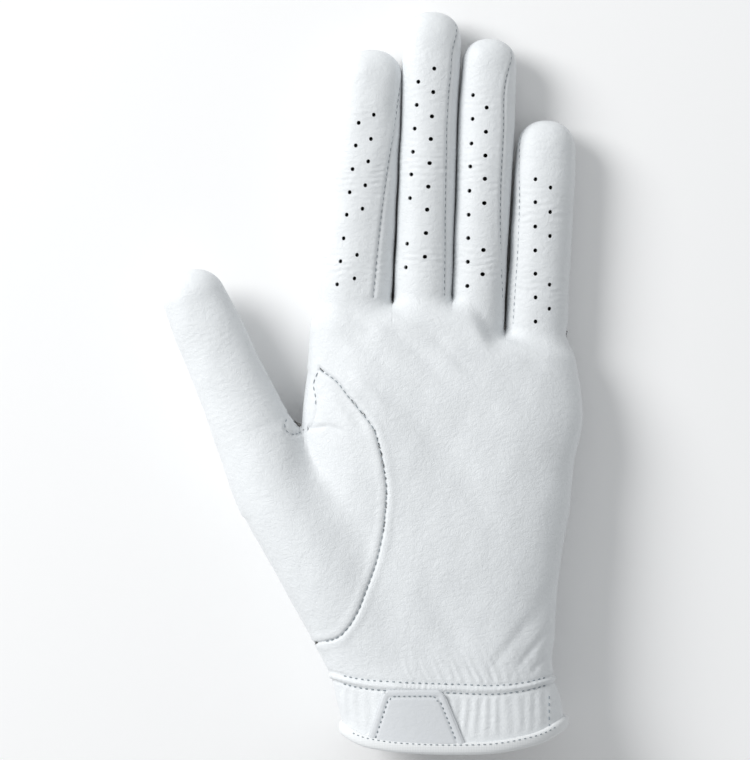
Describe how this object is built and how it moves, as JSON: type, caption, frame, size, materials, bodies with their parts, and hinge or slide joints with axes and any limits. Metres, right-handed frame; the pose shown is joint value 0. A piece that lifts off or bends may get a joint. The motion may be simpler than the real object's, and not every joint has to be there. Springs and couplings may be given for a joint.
{
  "type": "golf glove",
  "caption": "Left-hand leather golf glove lying on its back, palm up, with perforated fingers, set-in thumb, elastic wrist, bound cuff and a closure tab on the back of the wrist.",
  "frame": {"origin": "under the middle of the glove, on the surface that it lies on", "axes": "+X from the thumb side to the little finger side, +Y towards the fingertips, +Z out of the palm"},
  "size_m": [0.1276, 0.228, 0.0389],
  "materials": {
    "glove_leather": "thin soft white sheepskin, smooth grain outside",
    "patch_leather": "white, smooth, stitched round its edge",
    "tab_leather": "white, lined, stitched round its edge",
    "binding": "white woven tape, folded over the edge",
    "elastic": "white woven elastic",
    "label_cloth": "white satin tape, blank",
    "hook_tape": "white nylon hooks",
    "loop_tape": "white brushed nylon loops"
  },
  "bodies": {
    "hand": {"back_elastic": "elastic", "back_leather": "glove_leather", "cuff_patch": "patch_leather", "hem_binding": "binding", "loop_pad": "loop_tape", "palm_leather": "glove_leather", "size_label": "label_cloth", "tab_anchor": "tab_leather", "thumb_back_root": "glove_leather", "thumb_ball_leather": "glove_leather", "thumb_web_gusset": "glove_leather", "vent_binding": "binding", "wrist_elastic": "elastic"},
    "tab": {"closure_tab": "tab_leather", "hook_pad": "hook_tape"},
    "index_lower": {"index_lower_back": "glove_leather", "index_lower_face": "glove_leather", "index_lower_right_fourchette": "glove_leather"},
    "index_upper": {"index_upper_back": "glove_leather", "index_upper_face": "glove_leather", "index_upper_right_fourchette": "glove_leather"},
    "little_lower": {"little_lower_back": "glove_leather", "little_lower_face": "glove_leather", "little_lower_left_fourchette": "glove_leather"},
    "little_upper": {"little_upper_back": "glove_leather", "little_upper_face": "glove_leather", "little_upper_left_fourchette": "glove_leather"},
    "middle_lower": {"middle_lower_back": "glove_leather", "middle_lower_face": "glove_leather", "middle_lower_left_fourchette": "glove_leather", "middle_lower_right_fourchette": "glove_leather"},
    "middle_upper": {"middle_upper_back": "glove_leather", "middle_upper_face": "glove_leather", "middle_upper_left_fourchette": "glove_leather", "middle_upper_right_fourchette": "glove_leather"},
    "ring_lower": {"ring_lower_back": "glove_leather", "ring_lower_face": "glove_leather", "ring_lower_left_fourchette": "glove_leather", "ring_lower_right_fourchette": "glove_leather"},
    "ring_upper": {"ring_upper_back": "glove_leather", "ring_upper_face": "glove_leather", "ring_upper_left_fourchette": "glove_leather", "ring_upper_right_fourchette": "glove_leather"},
    "thumb_lower": {"thumb_lower_back": "glove_leather", "thumb_lower_face": "glove_leather"},
    "thumb_upper": {"thumb_upper_back": "glove_leather", "thumb_upper_face": "glove_leather"}
  },
  "joints": [
    {"name": "index_knuckle", "type": "hinge", "parent": "hand", "child": "index_lower", "pos_m": [-0.0052, 0.035, 0.0093], "axis": [0.997, -0.0778, 0], "range_deg": [0, 70]},
    {"name": "index_middle_joint", "type": "hinge", "parent": "index_lower", "child": "index_upper", "pos_m": [-0.00353, 0.05643, 0.0093], "axis": [0.997, -0.0778, 0], "range_deg": [0, 85]},
    {"name": "middle_knuckle", "type": "hinge", "parent": "hand", "child": "middle_lower", "pos_m": [0.0155, 0.037, 0.0095], "axis": [0.9993, -0.0367, 0], "range_deg": [0, 70]},
    {"name": "middle_middle_joint", "type": "hinge", "parent": "middle_lower", "child": "middle_upper", "pos_m": [0.01638, 0.06098, 0.0095], "axis": [0.9993, -0.0367, 0], "range_deg": [0, 85]},
    {"name": "ring_knuckle", "type": "hinge", "parent": "hand", "child": "ring_lower", "pos_m": [0.0328, 0.036, 0.0092], "axis": [0.999, -0.0449, 0], "range_deg": [0, 70]},
    {"name": "ring_middle_joint", "type": "hinge", "parent": "ring_lower", "child": "ring_upper", "pos_m": [0.03383, 0.05898, 0.0092], "axis": [0.999, -0.0449, 0], "range_deg": [0, 85]},
    {"name": "little_knuckle", "type": "hinge", "parent": "hand", "child": "little_lower", "pos_m": [0.0507, 0.028, 0.0085], "axis": [0.9984, -0.0559, 0], "range_deg": [0, 70]},
    {"name": "little_middle_joint", "type": "hinge", "parent": "little_lower", "child": "little_upper", "pos_m": [0.05182, 0.04797, 0.0085], "axis": [0.9984, -0.0559, 0], "range_deg": [0, 85]},
    {"name": "thumb_base_joint", "type": "hinge", "parent": "hand", "child": "thumb_lower", "pos_m": [-0.0406, -0.0082, 0.0145], "axis": [0.7006, 0.3098, -0.6428], "range_deg": [0, 40]},
    {"name": "thumb_tip_joint", "type": "hinge", "parent": "thumb_lower", "child": "thumb_upper", "pos_m": [-0.04828, 0.00918, 0.0145], "axis": [0.7006, 0.3098, -0.6428], "range_deg": [0, 60]},
    {"name": "tab_hinge", "type": "hinge", "parent": "hand", "child": "tab", "pos_m": [-0.00365, -0.0845, 0.0035], "axis": [0, 0.9981, -0.0618], "range_deg": [0, 120]}
  ]
}
